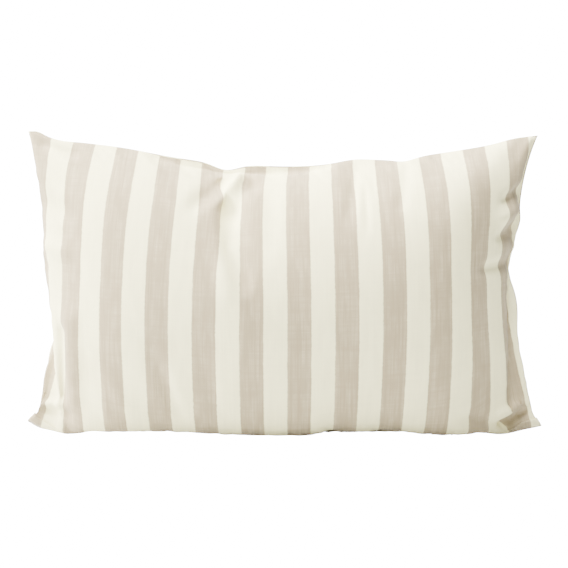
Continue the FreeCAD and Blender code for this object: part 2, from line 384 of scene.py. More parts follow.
@dataclass
class SewnCloth:
    """Two flat panels sewn together round their edges, filled and stood on the floor.

    The cloth is two grids of points, the front and the back, that share their rims. Each step
    pushes the points out along the cloth's normals, then brings every thread back to the length
    it was cut to. The rim is drawn to the outline.
    """

    outline: Outline = field(default_factory=Outline)
    width: float = 0.508
    height: float = 0.305
    columns: int = 64
    rows: int = 38
    start_depth: float = 0.042
    crown_powers: tuple[int, int] = (4, 3)
    crown_softness: float = 0.7
    push: float = 0.00003
    least_push: float = 0.25
    fill_gain: float = 8.0
    fill_depth: float = 0.0298
    low_push: float = 1.6
    drag: float = 0.90
    bend: float = 0.03
    seam_bend: float = 0.5
    squeeze: float = 0.25
    side_gather: float = 0.105
    long_gather: float = 0.050
    gather_reach: tuple[float, float] = (0.60, 0.45)
    skew: float = 0.35
    steps: tuple[int, int] = (360, 130)
    passes: int = 7
    rim_hold: float = 0.6
    rim_depth_hold: float = 0.08
    floor: float = 0.0004
    half_depth: float = 0.0680
    belly: float = 1.5
    roundness: float = 2.6
    lip_reach: tuple[float, float] = (0.0045, 0.0150)
    top_fall: float = 0.09
    lip_gap: float = 0.0008
    lip_fade: tuple[float, float] = (0.005, 0.001)
    lip_height: float = 0.03
    least_depth: float = 0.001
    zip_half: float = 0.1680
    front_lifts: tuple[Tuck, ...] = (
        Tuck(-0.50, 0.25, 0.0040),
        Tuck(0.18, 0.05, 0.0050),
        Tuck(0.37, 0.14, 0.0055),
    )
    lengths: tuple[np.ndarray, np.ndarray, np.ndarray] = field(init=False)

    def settle(self) -> np.ndarray:
        """Fill the cloth on a coarse grid, then on one twice as fine, and stand it on the floor.

        Returns:
            The points, as an array of (front or back, row, column, xyz).
        """
        points = self.start()
        for stage, steps in enumerate(self.steps):
            if stage:
                points = self.refine(points)
            rim, seam = self.seam_targets()
            self.lengths = self.cut_lengths()
            before = points.copy()
            for _ in range(steps):
                points, before = self.step(points, before, rim, seam)
        return self.stand(points)

    def places(self) -> tuple[np.ndarray, np.ndarray]:
        """Each grid point's place across and up the cloth, from -1 to 1."""
        return np.meshgrid(np.linspace(-1, 1, self.columns + 1), np.linspace(-1, 1, self.rows + 1))

    def start(self) -> np.ndarray:
        """The half-filled shape that the first step starts from.

        Returns:
            The front and back grids.
        """
        u, v = self.places()
        flat = self.outline.patch(u, v)
        across, upward = (
            (1 - np.abs(place) ** power) ** self.crown_softness
            for place, power in zip((u, v), self.crown_powers)
        )
        crown = across * upward
        points = np.zeros((2, self.rows + 1, self.columns + 1, 3))
        for layer, side in enumerate(Side):
            points[layer, ..., 0] = flat[..., 0]
            points[layer, ..., 1] = side.value * self.start_depth * crown
            points[layer, ..., 2] = np.maximum(flat[..., 1], self.floor)
        return points

    def seam_targets(self) -> tuple[np.ndarray, np.ndarray]:
        """Which grid points lie on the seam, and where the outline wants them.

        Returns:
            The mask of seam points, and their wanted places.
        """
        u, v = self.places()
        rim = np.zeros(u.shape, dtype=bool)
        rim[[0, -1], :] = True
        rim[:, [0, -1]] = True
        flat = self.outline.patch(u, v)
        return rim, np.stack([flat[..., 0], self.outline.set_back(u, v), flat[..., 1]], axis=-1)[rim]

    def cut_lengths(self) -> tuple[np.ndarray, np.ndarray, np.ndarray]:
        """How long each thread piece is: along the rows, along the columns and across the cells.

        The seams are gathered a little, the side ones most, which is what a filled cover does.

        Returns:
            The three sets of lengths.
        """
        u, v = self.places()
        drawn = self.long_gather * rising(self.gather_reach[1], 1.0, np.abs(v))
        wide = self.width / self.columns * (1 - drawn)
        tall = self.height / self.rows * (1 - self.side_gather * rising(self.gather_reach[0], 1.0, np.abs(u)))
        wide, tall = wide[..., None], tall[..., None]
        return wide[:, 1:], tall[1:], np.hypot(wide, tall)[1:, 1:]

    def refine(self, points: np.ndarray) -> np.ndarray:
        """The same cloth on a grid with half the spacing.

        Args:
            points: The coarse grids.

        Returns:
            The fine grids.
        """
        self.columns *= 2
        self.rows *= 2
        points = sample(points, 2, np.linspace(0, self.columns // 2, self.columns + 1))
        return sample(points, 1, np.linspace(0, self.rows // 2, self.rows + 1))

    def stand(self, points: np.ndarray) -> np.ndarray:
        """Round the underside down on to the floor on both sides of the zip, and part the zip's lips.

        The front's lower edge ripples: front_lifts are the places where it stays off the floor.

        Args:
            points: The settled front and back grids.

        Returns:
            The standing grids.
        """
        u, _ = self.places()
        x, y, z = points[..., 0], points[..., 1], points[..., 2]
        y *= self.half_depth / np.abs(y).max()
        out = half_gap(points)
        deepest = np.maximum(out.max(axis=0), self.least_depth)
        share = np.clip(out / deepest, 0.0, 1.0)
        belly = self.belly * deepest * (1.0 - (1.0 - share ** self.roundness) ** (1.0 / self.roundness))
        wanted = self.floor + belly + z[:, :1] * (1.0 - rising(*self.lip_reach, out))
        wanted[0] += sum(lift.inward(u) for lift in self.front_lifts) * rising(*self.lip_reach, out)
        z += (wanted - z) * (1.0 - rising(0.0, 1.0, z / (self.belly * deepest)))
        z[:] = np.minimum(z, z[:, -1:] - self.top_fall * out)
        ends = (self.zip_half - fade for fade in self.lip_fade)
        parted = self.lip_gap * (1.0 - rising(*ends, np.abs(x[0, 0])))
        for layer, side in enumerate(Side):
            y[layer] += side.value * parted * np.exp(-z[layer] / self.lip_height)
        return points

    def step(
        self, points: np.ndarray, before: np.ndarray, rim: np.ndarray, seam: np.ndarray
    ) -> tuple[np.ndarray, np.ndarray]:
        """One step of the filling.

        Args:
            points: Where the points are.
            before: Where they were a step ago.
            rim: Which points of a grid lie on the seam.
            seam: Where the outline wants the rim's points.

        Returns:
            The new points, and the points as they were.
        """
        moved = points + (points - before) * self.drag
        across = np.gradient(points, axis=2)
        upward = np.gradient(points, axis=1)
        normal = np.cross(across, upward) / (self.width / self.columns * self.height / self.rows)
        normal[1] *= -1.0
        level = 1.0 + self.low_push * (0.5 - points[..., 2:3] / self.height)
        room = np.clip(self.fill_gain * (1.0 - np.abs(points[..., 1]).mean() / self.fill_depth), 0.0, 1.0)
        moved += self.push * (self.least_push + (1.0 - self.least_push) * room) * level * normal
        moved -= self.bend * laplacian(laplacian(moved))
        for _ in range(self.passes):
            self.shorten(moved)
            joined = moved[:, rim].mean(axis=0)
            joined[:, [0, 2]] += (seam[:, [0, 2]] - joined[:, [0, 2]]) * self.rim_hold
            joined[:, 1] += (seam[:, 1] - joined[:, 1]) * self.rim_depth_hold
            moved[:, rim] = joined
        for line in (moved[:, 0], moved[:, -1], moved[:, :, 0], moved[:, :, -1]):
            around = (line[:, :-2, 1] + line[:, 2:, 1]) / 2.0
            line[:, 1:-1, 1] += self.seam_bend * (around - line[:, 1:-1, 1])
        moved[..., 2] = np.maximum(moved[..., 2], self.floor)
        return moved, points

    def shorten(self, points: np.ndarray) -> None:
        """Bring every thread of both grids back to its cut length, in place.

        Args:
            points: The front and back grids.
        """
        wide, tall, slant = self.lengths
        for first in (0, 1):
            left, right = points[:, :, first:-1:2], points[:, :, first + 1 :: 2]
            self.relax(left[:, :, : right.shape[2]], right, wide[:, first::2], 1.0)
            low, high = points[:, first:-1:2], points[:, first + 1 :: 2]
            low = low[:, : high.shape[1]]
            self.relax(low, high, tall[first::2], 1.0)
            self.relax(low[:, :, :-1], high[:, :, 1:], slant[first::2], self.skew)
            self.relax(low[:, :, 1:], high[:, :, :-1], slant[first::2], self.skew)

    def relax(self, near: np.ndarray, far: np.ndarray, length: np.ndarray, share: float) -> None:
        """Move two sets of points towards their cut distance apart, in place.

        Args:
            near: The first points.
            far: The second ones.
            length: How far apart they were cut.
            share: How much of the way they move.
        """
        gap = far - near
        now = np.sqrt(np.einsum("...i,...i->...", gap, gap))[..., None]
        error = (now - length) / np.maximum(now, TINY)
        error = np.where(error < 0, error * self.squeeze, error) * 0.5 * share
        near += gap * error
        far -= gap * error


def laplacian(points: np.ndarray) -> np.ndarray:
    """How far the four neighbours' mean is from each point, with nothing at the rims.

    Args:
        points: The front and back grids.

    Returns:
        An offset for each point.
    """
    result = np.zeros_like(points)
    inner = points[:, 1:-1, 1:-1]
    around = points[:, :-2, 1:-1] + points[:, 2:, 1:-1] + points[:, 1:-1, :-2] + points[:, 1:-1, 2:]
    result[:, 1:-1, 1:-1] = inner - around / 4.0
    return result


# ---------------------------------------------------------------- shader parts


class Shader:
    """A node tree with short ways to add, set and link nodes."""

    def __init__(self, tree: bpy.types.NodeTree) -> None:
        """Work on this tree."""
        self.tree = tree

    def add(self, kind: str, **settings: object) -> bpy.types.Node:
        """Add a node and set its properties.

        Args:
            kind: The node's type.
            settings: Its properties.

        Returns:
            The node.
        """
        node = self.tree.nodes.new(kind)
        for name, value in settings.items():
            setattr(node, name, value)
        return node

    def link(self, source: bpy.types.NodeSocket, target: bpy.types.NodeSocket) -> None:
        """Join an output to an input."""
        self.tree.links.new(source, target)

    def put(self, value: object, target: bpy.types.NodeSocket) -> None:
        """Set an input to a number or colour, or link it where the value is a socket.

        Args:
            value: The number, colour, vector or socket.
            target: The input.
        """
        if isinstance(value, bpy.types.NodeSocket):
            self.link(value, target)
        else:
            target.default_value = value

    def math(self, operation: str, *values: object, clamp: bool = False) -> bpy.types.NodeSocket:
        """A Math node's result.

        Args:
            operation: What it works out.
            values: Its inputs, in order.
            clamp: Whether the result is kept from 0 to 1.

        Returns:
            The result.
        """
        node = self.add("ShaderNodeMath", operation=operation, use_clamp=clamp)
        for value, target in zip(values, node.inputs):
            self.put(value, target)
        return node.outputs[0]

    def ramp(
        self, value: object, low: object, high: object, to_low: object = 0.0, to_high: object = 1.0
    ) -> bpy.types.NodeSocket:
        """A smooth step of value from one range to another.

        Args:
            value: The value.
            low: Where the step starts.
            high: Where it ends.
            to_low: The result at the start.
            to_high: The result at the end.

        Returns:
            The result.
        """
        node = self.add("ShaderNodeMapRange", interpolation_type="SMOOTHSTEP")
        names = ("Value", "From Min", "From Max", "To Min", "To Max")
        for name, part in zip(names, (value, low, high, to_low, to_high)):
            self.put(part, node.inputs[name])
        return node.outputs["Result"]

    def mix(self, share: object, first: object, second: object, blend: str = "MIX") -> bpy.types.NodeSocket:
        """A mix of two colours.

        Args:
            share: How much of the second one.
            first: The first colour.
            second: The second colour.
            blend: How they are mixed.

        Returns:
            The mixed colour.
        """
        node = self.add("ShaderNodeMix", data_type="RGBA", blend_type=blend)
        self.put(share, node.inputs[0])
        self.put(first, node.inputs[6])
        self.put(second, node.inputs[7])
        return node.outputs[2]

    def noise(
        self, place: bpy.types.NodeSocket, scale: object, detail: float = 2.0, seed: float = 0.0
    ) -> bpy.types.NodeSocket:
        """Noise whose grain differs along each axis.

        Args:
            place: Where the noise is read.
            scale: Cells per metre along X, Y and Z.
            detail: How many finer layers it has.
            seed: Where in the noise it starts.

        Returns:
            The noise, from 0 to 1.
        """
        stretch = self.add("ShaderNodeVectorMath", operation="MULTIPLY_ADD")
        self.link(place, stretch.inputs[0])
        self.put(scale, stretch.inputs[1])
        stretch.inputs[2].default_value = (seed, seed * 1.7, seed * 0.6)
        node = self.add("ShaderNodeTexNoise", noise_dimensions="3D")
        self.link(stretch.outputs[0], node.inputs["Vector"])
        node.inputs["Scale"].default_value = 1.0
        node.inputs["Detail"].default_value = detail
        return node.outputs["Fac"]

    def share(self, value: object, part: float) -> bpy.types.NodeSocket:
        """A value times a fixed part."""
        return self.math("MULTIPLY", value, part)

    def bump(
        self, surface: bpy.types.Node, height: bpy.types.NodeSocket, strength: float, distance: float
    ) -> None:
        """Raise a surface by a height.

        Args:
            surface: The material's Principled BSDF.
            height: The height, from about 0 to 1.
            strength: How much of the effect shows.
            distance: How high 1 stands, in metres.
        """
        node = self.add("ShaderNodeBump")
        node.inputs["Strength"].default_value = strength
        node.inputs["Distance"].default_value = distance
        self.link(height, node.inputs["Height"])
        self.link(node.outputs[0], surface.inputs["Normal"])


class EffectGroup(Shader):
    """A shader node group with named inputs and outputs, built once and placed in many materials."""

    def __init__(self, name: str, inputs: dict[str, tuple[str, object]], outputs: dict[str, str]) -> None:
        """Make the group's tree and sockets.

        Args:
            name: The group's name.
            inputs: Each input's socket type and value, where it has one.
            outputs: Each output's socket type.
        """
        super().__init__(bpy.data.node_groups.new(name, "ShaderNodeTree"))
        for label, (kind, value) in inputs.items():
            made = self.tree.interface.new_socket(label, in_out="INPUT", socket_type=kind)
            if value is not None:
                made.default_value = value
        for label, kind in outputs.items():
            self.tree.interface.new_socket(label, in_out="OUTPUT", socket_type=kind)
        self.given = self.add("NodeGroupInput").outputs
        self.result = self.add("NodeGroupOutput").inputs

    def place(self, shader: Shader, **values: object) -> bpy.types.bpy_prop_collection:
        """Put the group in a material.

        Args:
            shader: The material's node tree.
            values: The group's inputs by name, in lower case.

        Returns:
            The group's outputs.
        """
        node = shader.add("ShaderNodeGroup", node_tree=self.tree)
        for name, value in values.items():
            shader.put(value, node.inputs[name.replace("_", " ").capitalize()])
        return node.outputs


class Effects:
    """The node groups that the finishes share."""

    def __init__(self) -> None:
        """Build the groups."""
        self.weave = self.make_weave()
        self.stripes = self.make_stripes()
        self.grain = self.make_grain()

    def make_weave(self) -> EffectGroup:
        """Crossing threads with slubs: thick places along single threads, both ways.

        Returns:
            The group.
        """
        group = EffectGroup(
            "woven_threads",
            {
                "Place": ("NodeSocketVector", None),
                "Threads": ("NodeSocketFloat", 1300.0),
                "Slubs": ("NodeSocketFloat", 1.0),
            },
            {name: "NodeSocketFloat" for name in ("Height", "Warp", "Weft", "Cloudy")},
        )
        place, threads, slubs = (group.given[name] for name in ("Place", "Threads", "Slubs"))
        warp_fine = group.noise(place, (1100.0, 34.0, 1.0), 1.0, 1.0)
        warp_wide = group.noise(place, (420.0, 14.0, 1.0), 2.0, 4.0)
        weft_fine = group.noise(place, (30.0, 1100.0, 1.0), 1.0, 7.0)
        weft_wide = group.noise(place, (12.0, 380.0, 1.0), 2.0, 9.0)
        warp = group.math("ADD", group.share(warp_fine, 0.5), group.share(warp_wide, 0.5))
        weft = group.math("ADD", group.share(weft_fine, 0.5), group.share(weft_wide, 0.5))
        split = group.add("ShaderNodeSeparateXYZ")
        group.link(place, split.inputs[0])
        over, under = (
            group.math("SINE", group.math("MULTIPLY", way, group.share(threads, math.pi)))
            for way in split.outputs[:2]
        )
        plain = group.math("MULTIPLY_ADD", group.math("MULTIPLY", over, under), 0.25, 0.5)
        grain = group.math("ADD", group.share(warp, 1.2), weft)
        height = group.math("ADD", plain, group.math("MULTIPLY", grain, slubs))
        group.link(height, group.result["Height"])
        group.link(warp, group.result["Warp"])
        group.link(weft, group.result["Weft"])
        group.link(group.noise(place, (110.0, 42.0, 1.0), 3.0, 12.0), group.result["Cloudy"])
        return group

    def make_stripes(self) -> EffectGroup:
        """Woven stripes across the width, whose edges wander a little from thread to thread.

        Returns:
            The group.
        """
        group = EffectGroup(
            "woven_stripes",
            {
                "Place": ("NodeSocketVector", None),
                "Pitch": ("NodeSocketFloat", 0.0437),
                "Stripe": ("NodeSocketFloat", 0.0219),
                "Middle": ("NodeSocketFloat", 0.0),
            },
            {"Mask": "NodeSocketFloat"},
        )
        place, pitch, stripe, middle = (group.given[name] for name in ("Place", "Pitch", "Stripe", "Middle"))
        split = group.add("ShaderNodeSeparateXYZ")
        group.link(place, split.inputs[0])
        wander = group.math("SUBTRACT", group.noise(place, (8.0, 700.0, 1.0), 1.0, 3.0), 0.5)
        drift = group.math("SUBTRACT", group.noise(place, (4.0, 45.0, 1.0), 1.0, 5.0), 0.5)
        along = group.math("SUBTRACT", split.outputs[0], middle)
        along = group.math("MULTIPLY_ADD", wander, 0.0011, along)
        along = group.math("MULTIPLY_ADD", drift, 0.0012, along)
        turns = group.math("ADD", group.math("DIVIDE", along, pitch), 64.5)
        from_middle = group.math("ABSOLUTE", group.math("SUBTRACT", group.math("FRACT", turns), 0.5))
        reach = group.math("SUBTRACT", group.math("MULTIPLY", from_middle, pitch), group.share(stripe, 0.5))
        group.link(group.ramp(reach, 0.0006, -0.0006), group.result["Mask"])
        return group

    def make_grain(self) -> EffectGroup:
        """Two grains over each other, each with its own cells per metre along X, Y and Z.

        Returns:
            The group.
        """
        group = EffectGroup(
            "crossed_grain",
            {
                "Place": ("NodeSocketVector", None),
                "Fine": ("NodeSocketVector", (900.0, 900.0, 900.0)),
                "Coarse": ("NodeSocketVector", (300.0, 300.0, 300.0)),
            },
            {"Fine": "NodeSocketFloat", "Both": "NodeSocketFloat"},
        )
        place, fine, coarse = (group.given[name] for name in ("Place", "Fine", "Coarse"))
        first = group.noise(place, fine, 3.0, 2.0)
        second = group.noise(place, coarse, 4.0, 5.0)
        group.link(first, group.result["Fine"])
        group.link(group.share(group.math("ADD", first, second), 0.5), group.result["Both"])
        return group


def new_material(name: str) -> tuple[bpy.types.Material, Shader, bpy.types.Node]:
    """An empty material with its Principled BSDF joined to its output.

    Args:
        name: The material's name.

    Returns:
        The material, its node tree and its Principled BSDF.
    """
    material = bpy.data.materials.new(name)
    material.use_nodes = True
    material.node_tree.nodes.clear()
    shader = Shader(material.node_tree)
    output = shader.add("ShaderNodeOutputMaterial")
    surface = shader.add("ShaderNodeBsdfPrincipled")
    shader.link(surface.outputs[0], output.inputs[0])
    return material, shader, surface


@dataclass(frozen=True)
class LinenFinish:
    """Striped linen: off-white and taupe yarns, matt, with slubs."""

    light: Colour = (0.85, 0.79, 0.435, 1.0)
    dark: Colour = (0.435, 0.357, 0.212, 1.0)
    pitch: float = 0.0437
    stripe: float = 0.0219
    middle: float = 0.0146
    contrast: float = 3.0
    worn: tuple[float, float] = (0.80, 0.16)
    clouds: tuple[float, float] = (0.50, 0.14)
    weft_share: float = 0.6
    raised: Colour = (1.10, 1.10, 1.10, 1.0)
    sunken: Colour = (0.72, 0.70, 0.68, 1.0)

    def make(self, effects: Effects, name: str) -> bpy.types.Material:
        """Build the material.

        Args:
            effects: The shared node groups.
            name: The material's name.

        Returns:
            The material.
        """
        material, shader, surface = new_material(name)
        place = shader.add("ShaderNodeUVMap", uv_map=CLOTH_MAP).outputs[0]
        weave = effects.weave.place(shader, place=place, threads=1300.0, slubs=1.0)
        woven_in = effects.stripes.place(
            shader, place=place, pitch=self.pitch, stripe=self.stripe, middle=self.middle
        )
        mask = woven_in["Mask"]
        base = shader.mix(mask, self.light, self.dark)
        streak, cross = (
            shader.math("MULTIPLY_ADD", shader.math("SUBTRACT", thread, 0.5), self.contrast, 0.5, clamp=True)
            for thread in (weave["Warp"], weave["Weft"])
        )
        depth = shader.math("MULTIPLY_ADD", mask, *self.worn)
        pale = shader.mix(1.0, base, self.raised, "MULTIPLY")
        deep = shader.mix(1.0, base, self.sunken, "MULTIPLY")
        yarns = shader.mix(shader.math("MULTIPLY", streak, depth), pale, deep)
        yarns = shader.mix(shader.math("MULTIPLY", cross, shader.share(depth, self.weft_share)), yarns, deep)
        patches = shader.ramp(weave["Cloudy"], 0.40, 0.64)
        cloudy = shader.math("MULTIPLY", patches, shader.math("MULTIPLY_ADD", mask, *self.clouds))
        shader.link(shader.mix(cloudy, yarns, deep), surface.inputs["Base Color"])
        shader.link(shader.ramp(weave["Warp"], 0.3, 0.7, 0.82, 0.95), surface.inputs["Roughness"])
        surface.inputs["Specular IOR Level"].default_value = 0.25
        surface.inputs["Sheen Weight"].default_value = 0.15
        surface.inputs["Sheen Roughness"].default_value = 0.5
        shader.bump(surface, weave["Height"], 0.35, 0.0004)
        return material


@dataclass(frozen=True)
class WovenFinish:
    """Plain woven cloth in one colour, such as ticking, zip tape or label ribbon."""

    light: Colour
    deep: Colour
    threads: float
    slubs: float
    bump: float

    def make(self, effects: Effects, name: str) -> bpy.types.Material:
        """Build the material.

        Args:
            effects: The shared node groups.
            name: The material's name.

        Returns:
            The material.
        """
        material, shader, surface = new_material(name)
        place = shader.add("ShaderNodeUVMap", uv_map=CLOTH_MAP).outputs[0]
        weave = effects.weave.place(shader, place=place, threads=self.threads, slubs=self.slubs)
        shade = shader.mix(shader.ramp(weave["Warp"], 0.2, 0.8, 0.0, 0.7), self.light, self.deep)
        shader.link(shade, surface.inputs["Base Color"])
        shader.link(shader.ramp(weave["Weft"], 0.3, 0.7, 0.7, 0.9), surface.inputs["Roughness"])
        shader.bump(surface, weave["Height"], 0.4, self.bump)
        return material


@dataclass(frozen=True)
class SpunFinish:
    """Fine fibres or drawn filament: thread with a soft twist, or smooth nylon."""

    light: Colour
    deep: Colour
    rough: tuple[float, float]
    grain: tuple[float, float, float]
    bump: float

    def make(self, effects: Effects, name: str) -> bpy.types.Material:
        """Build the material.

        Args:
            effects: The shared node groups.
            name: The material's name.

        Returns:
            The material.
        """
        material, shader, surface = new_material(name)
        place = shader.add("ShaderNodeTexCoord").outputs["Object"]
        fibres = effects.grain.place(shader, place=place, fine=self.grain)["Fine"]
        shade = shader.mix(shader.ramp(fibres, 0.3, 0.7), self.light, self.deep)
        shader.link(shade, surface.inputs["Base Color"])
        shader.link(shader.ramp(fibres, 0.3, 0.7, *self.rough), surface.inputs["Roughness"])
        shader.bump(surface, fibres, 0.5, self.bump)
        return material


@dataclass(frozen=True)
class MetalFinish:
    """Nickel-plated zinc: cast grain, fine rubbing marks and duller places."""

    bright: Colour = (0.64, 0.62, 0.58, 1.0)
    dull: Colour = (0.59, 0.57, 0.53, 1.0)
    rubbing: tuple[float, float, float] = (420.0, 6000.0, 6000.0)
    cast: tuple[float, float, float] = (1500.0, 1500.0, 1500.0)

    def make(self, effects: Effects, name: str) -> bpy.types.Material:
        """Build the material.

        Args:
            effects: The shared node groups.
            name: The material's name.

        Returns:
            The material.
        """
        material, shader, surface = new_material(name)
        place = shader.add("ShaderNodeTexCoord").outputs["Object"]
        wear = effects.grain.place(shader, place=place, fine=self.rubbing, coarse=self.cast)
        tarnish = shader.ramp(wear["Both"], 0.25, 0.75)
        shader.link(shader.mix(tarnish, self.bright, self.dull), surface.inputs["Base Color"])
        shader.link(shader.ramp(tarnish, 0.0, 1.0, 0.28, 0.36), surface.inputs["Roughness"])
        shader.link(shader.ramp(tarnish, 0.0, 1.0, 1.0, 0.95), surface.inputs["Metallic"])
        shader.bump(surface, wear["Fine"], 0.05, 0.00005)
        return material


@dataclass(frozen=True)
class FibreFinish:
    """Loose white polyester fibre: tangled strands, with painted shade in the soft hollows between them."""

    light: Colour = (0.90, 0.90, 0.90, 1.0)
    # deep is the painted shade colour that the hollows take.
    deep: Colour = (0.62, 0.62, 0.64, 1.0)
    strands: tuple[float, float, float] = (900.0, 120.0, 90.0)
    crossing: tuple[float, float, float] = (90.0, 110.0, 800.0)
    clumps: tuple[float, float, float] = (60.0, 60.0, 60.0)

    def make(self, effects: Effects, name: str) -> bpy.types.Material:
        """Build the material.

        Args:
            effects: The shared node groups.
            name: The material's name.

        Returns:
            The material.
        """
        material, shader, surface = new_material(name)
        place = shader.add("ShaderNodeTexCoord").outputs["Object"]
        strands = effects.grain.place(shader, place=place, fine=self.strands, coarse=self.crossing)
        clumps = effects.grain.place(shader, place=place, fine=self.clumps)["Fine"]
        tangle_height_and_shade = shader.math("MULTIPLY", shader.share(strands["Both"], 2.0), clumps)
        # Painted shade: the colour goes to deep where the bump is low, in the hollows between strands.
        shade = shader.mix(shader.ramp(tangle_height_and_shade, 0.3, 0.7), self.deep, self.light)
        shader.link(shade, surface.inputs["Base Color"])
        shader.link(shader.ramp(strands["Fine"], 0.3, 0.7, 0.75, 0.98), surface.inputs["Roughness"])
        shader.bump(surface, tangle_height_and_shade, 0.6, 0.0015)
        return material


FIBRE = FibreFinish()
LINEN = LinenFinish()
NICKEL = MetalFinish()
TICKING = WovenFinish((0.83, 0.83, 0.81, 1.0), (0.64, 0.64, 0.62, 1.0), 2400.0, 0.4, 0.0002)
ZIP_TAPE = WovenFinish((0.70, 0.62, 0.48, 1.0), (0.50, 0.43, 0.31, 1.0), 1500.0, 0.3, 0.0003)
LABEL_RIBBON = WovenFinish((0.86, 0.86, 0.84, 1.0), (0.72, 0.72, 0.70, 1.0), 3000.0, 0.2, 0.0001)
THREAD = SpunFinish(
    (0.80, 0.74, 0.60, 1.0), (0.60, 0.53, 0.40, 1.0), (0.6, 0.85), (2600.0, 1400.0, 2600.0), 0.0001
)
NYLON = SpunFinish(
    (0.72, 0.64, 0.50, 1.0), (0.58, 0.50, 0.37, 1.0), (0.28, 0.42), (700.0, 700.0, 700.0), 0.00003
)


# ---------------------------------------------------------------- pieces


def select_only(*things: bpy.types.Object) -> None:
    """Select these objects and nothing else, with the first one active.

    Args:
        things: The objects.
    """
    bpy.ops.object.select_all(action="DESELECT")
    for thing in things:
        thing.select_set(True)
    bpy.context.view_layer.objects.active = things[0]


def edit(thing: bpy.types.Object, *operators: Callable[[], object]) -> None:
    """Run edit-mode operators on a whole mesh.

    Args:
        thing: The mesh's object.
        operators: What to run, in order.
    """
    select_only(thing)
    bpy.ops.object.mode_set(mode="EDIT")
    bpy.ops.mesh.select_all(action="SELECT")
    for operator in operators:
        operator()
    bpy.ops.object.mode_set(mode="OBJECT")


def finish_with(thing: bpy.types.Object, kind: str, **settings: object) -> None:
    """Add a modifier, set it and apply it.

    Args:
        thing: The object.
        kind: The modifier's type.
        settings: Its properties.
    """
    modifier = thing.modifiers.new(kind.title(), kind)
    for name, value in settings.items():
        setattr(modifier, name, value)
    select_only(thing)
    bpy.ops.object.modifier_apply(modifier=modifier.name)


def keep(piece: bpy.types.Object, node: str, body: str = "cushion") -> None:
    """Tie a piece to its body, hide the CAD node that it stands for, and report it.

    Args:
        piece: The finished piece.
        node: The CAD node that it stands for.
        body: The body that it moves with.
    """
    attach(piece, body)
    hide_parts(node)
    LOG.info("%s: %d faces", piece.name, len(piece.data.polygons))


def grid_panel(
    name: str,
    points: np.ndarray,
    size: tuple[float, float],
    side: Side,
    shift: float = 0.0,
    lean: float = 0.0,
) -> bpy.types.Object:
    """A panel's mesh through a grid of points, with a UV map in metres of flat cloth.

    Args:
        name: The piece's name.
        points: The grid, as (row, column, xyz).
        size: The flat panel's width and height.
        side: Which way the panel faces.
        shift: How far the pattern is moved along the width.
        lean: How far the pattern on the left half leans to the right at the top, and back at the bottom.

    Returns:
        The panel's object, one layer thick.
    """
    rows, columns = points.shape[0] - 1, points.shape[1] - 1
    bpy.ops.object.select_all(action="DESELECT")
    bpy.ops.mesh.primitive_grid_add(x_subdivisions=columns, y_subdivisions=rows, size=2.0)
    panel = bpy.context.object
    panel.name = name
    mesh = panel.data
    mesh.name = name
    places = np.empty(len(mesh.vertices) * 3)
    mesh.vertices.foreach_get("co", places)
    places = places.reshape(-1, 3)
    column = np.rint((places[:, 0] + 1) / 2 * columns).astype(int)
    row = np.rint((places[:, 1] + 1) / 2 * rows).astype(int)
    mesh.vertices.foreach_set("co", points[row, column].ravel())
    layer = mesh.uv_layers[0]
    layer.name = CLOTH_MAP
    flat = np.empty(len(layer.data) * 2)
    layer.data.foreach_get("uv", flat)
    places = flat.reshape(-1, 2) * 2.0 - 1.0
    leaning = lean * (places[:, 1] + LEAN_LEVEL) * (1.0 - rising(*LEAN_REACH, places[:, 0]))
    flat = places / 2.0 * np.array(size) + np.array([shift, 0.0])
    flat[:, 0] -= leaning
    layer.data.foreach_set("uv", flat.ravel())
    mesh.update()
    if side is Side.BACK:
        edit(panel, bpy.ops.mesh.flip_normals)
    select_only(panel)
    bpy.ops.object.shade_smooth()
    return panel


